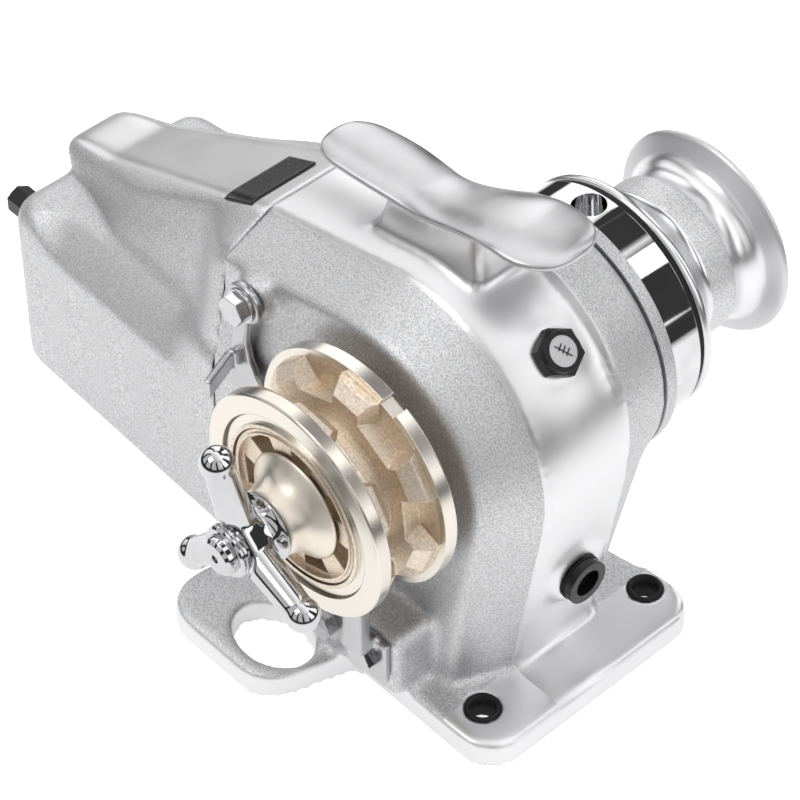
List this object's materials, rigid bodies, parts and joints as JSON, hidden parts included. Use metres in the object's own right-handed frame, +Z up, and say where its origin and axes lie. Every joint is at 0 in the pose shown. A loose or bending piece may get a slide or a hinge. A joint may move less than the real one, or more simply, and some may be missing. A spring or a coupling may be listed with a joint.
{
  "type": "anchor windlass",
  "caption": "Horizontal-shaft anchor windlass: pocketed chain wheel, rope drum, clutch handle, mooring horn and an enclosed worm gear motor on one cast base.",
  "frame": {"origin": "on the base underside, directly below the main shaft and midway between the two front bolt holes' lines", "axes": "+X towards the rounded nose, +Y towards the rope drum along the main shaft, +Z up from the deck"},
  "size_m": [0.3595, 0.2965, 0.2473],
  "materials": {
    "cast_aluminium": "cast aluminium, grit blasted on the flanks and satin polished on the belt",
    "steel": "bright stainless steel",
    "chrome": "mirror chrome plate",
    "bronze": "cast bronze with polished rims",
    "black_rubber": "matt black rubber",
    "black_plastic": "moulded black plastic",
    "core_steel": "dull laminated steel",
    "copper": "bare copper",
    "carbon": "matt carbon",
    "window": "clear window over a white level face"
  },
  "bodies": {
    "base": {"main_housing": "cast_aluminium", "motor_cover": "cast_aluminium", "cover_gasket": "black_rubber", "cover_screws": "steel", "bearing_cover": "cast_aluminium", "bearing_cover_screws": "steel", "shaft_bearings": "steel", "near_shaft_seal": "black_rubber", "far_shaft_seal": "black_rubber", "worm_rear_bearing": "steel", "worm_front_bearing": "steel", "motor_can": "steel", "motor_flange": "cast_aluminium", "motor_end_bell": "cast_aluminium", "motor_brushes": "carbon", "motor_bolts": "steel", "cable_gland": "black_plastic", "chain_guide": "chrome", "guide_bolt": "steel", "guide_washer": "steel", "chain_stripper": "chrome", "stripper_bolts": "steel", "sight_glass_body": "black_plastic", "sight_glass_window": "window", "oil_plug": "black_plastic", "plug_seal": "black_rubber"},
    "drive": {"main_shaft": "steel", "wheel_key": "steel", "worm_wheel": "bronze", "inner_cone": "steel", "clutch_key": "steel", "rope_drum": "cast_aluminium", "drum_key": "steel", "drum_washer": "steel", "drum_nut": "steel", "ring_seal": "black_rubber", "handle_retainer": "steel"},
    "motor_rotor": {"worm": "steel", "armature": "core_steel", "commutator": "copper"},
    "chain_wheel": {"gypsy": "bronze"},
    "cone": {"outer_cone": "chrome"},
    "handle": {"clutch_handle": "chrome"},
    "hand_lever_ring": {"lever_ring": "chrome"}
  },
  "joints": [
    {"name": "shaft_spin", "type": "hinge", "parent": "base", "child": "drive", "pos_m": [0, 0, 0.14], "axis": [0, 1, 0], "continuous": true},
    {"name": "motor_spin", "type": "hinge", "parent": "base", "child": "motor_rotor", "pos_m": [0, 0, 0.075], "axis": [1, 0, 0], "continuous": true},
    {"name": "gypsy_spin", "type": "hinge", "parent": "drive", "child": "chain_wheel", "pos_m": [0, -0.088, 0.14], "axis": [0, 1, 0], "continuous": true},
    {"name": "clutch_slide", "type": "slide", "parent": "drive", "child": "cone", "axis": [0, -1, 0], "range_m": [0, 0.0015]},
    {"name": "handle_turn", "type": "hinge", "parent": "cone", "child": "handle", "pos_m": [0, -0.1313, 0.14], "axis": [0, -1, 0], "range_deg": [0, 360]},
    {"name": "lever_ring_turn", "type": "hinge", "parent": "base", "child": "hand_lever_ring", "pos_m": [0, 0.07, 0.14], "axis": [0, 1, 0], "continuous": true}
  ],
  "couplings": [
    {"joint": "motor_spin", "follows": "shaft_spin", "ratio": 34},
    {"joint": "clutch_slide", "follows": "handle_turn", "m_per_rad": 0.00023873}
  ]
}
